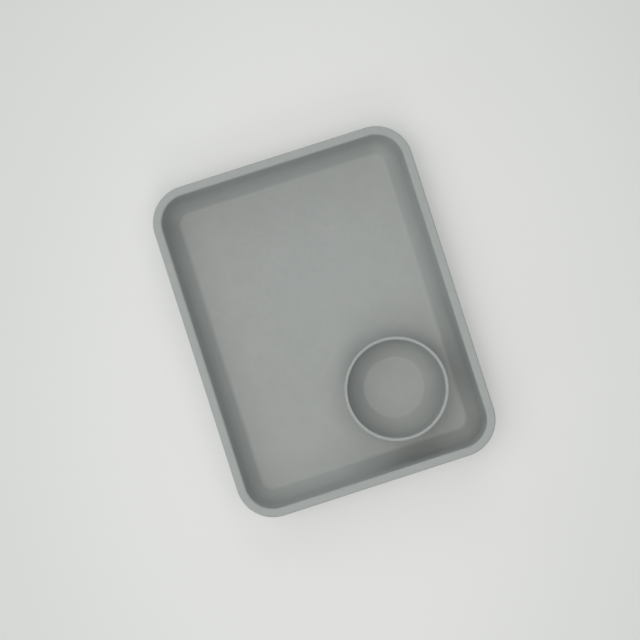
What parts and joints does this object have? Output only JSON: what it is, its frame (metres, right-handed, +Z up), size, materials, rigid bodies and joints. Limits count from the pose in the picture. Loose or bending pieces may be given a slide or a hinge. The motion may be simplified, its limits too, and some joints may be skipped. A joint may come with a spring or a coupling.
{
  "type": "key tray",
  "caption": "Shallow key tray with flared, round-cornered walls, a broad flat rim, soft feet underneath and a round cup that stands in a seat in the floor and lifts out.",
  "frame": {"origin": "on the table, under the middle of the tray", "axes": "+Z up, +Y along the tray's long side, +X along its short side; the cup is in the +X -Y corner"},
  "size_m": [0.18, 0.23, 0.038],
  "materials": {
    "tray_plastic": "fine matte moulded grey",
    "cup_plastic": "fine matte moulded grey",
    "foot_rubber": "soft matte dark grey"
  },
  "bodies": {
    "tray_body": {"tray": "tray_plastic", "foot_front_left": "foot_rubber", "foot_front_right": "foot_rubber", "foot_rear_left": "foot_rubber", "foot_rear_right": "foot_rubber"},
    "cup_body": {"cup": "cup_plastic"}
  },
  "joints": [
    {"name": "cup_lift", "type": "slide", "parent": "tray_body", "child": "cup_body", "axis": [0, 0, 1], "range_m": [0, 0.06]}
  ]
}
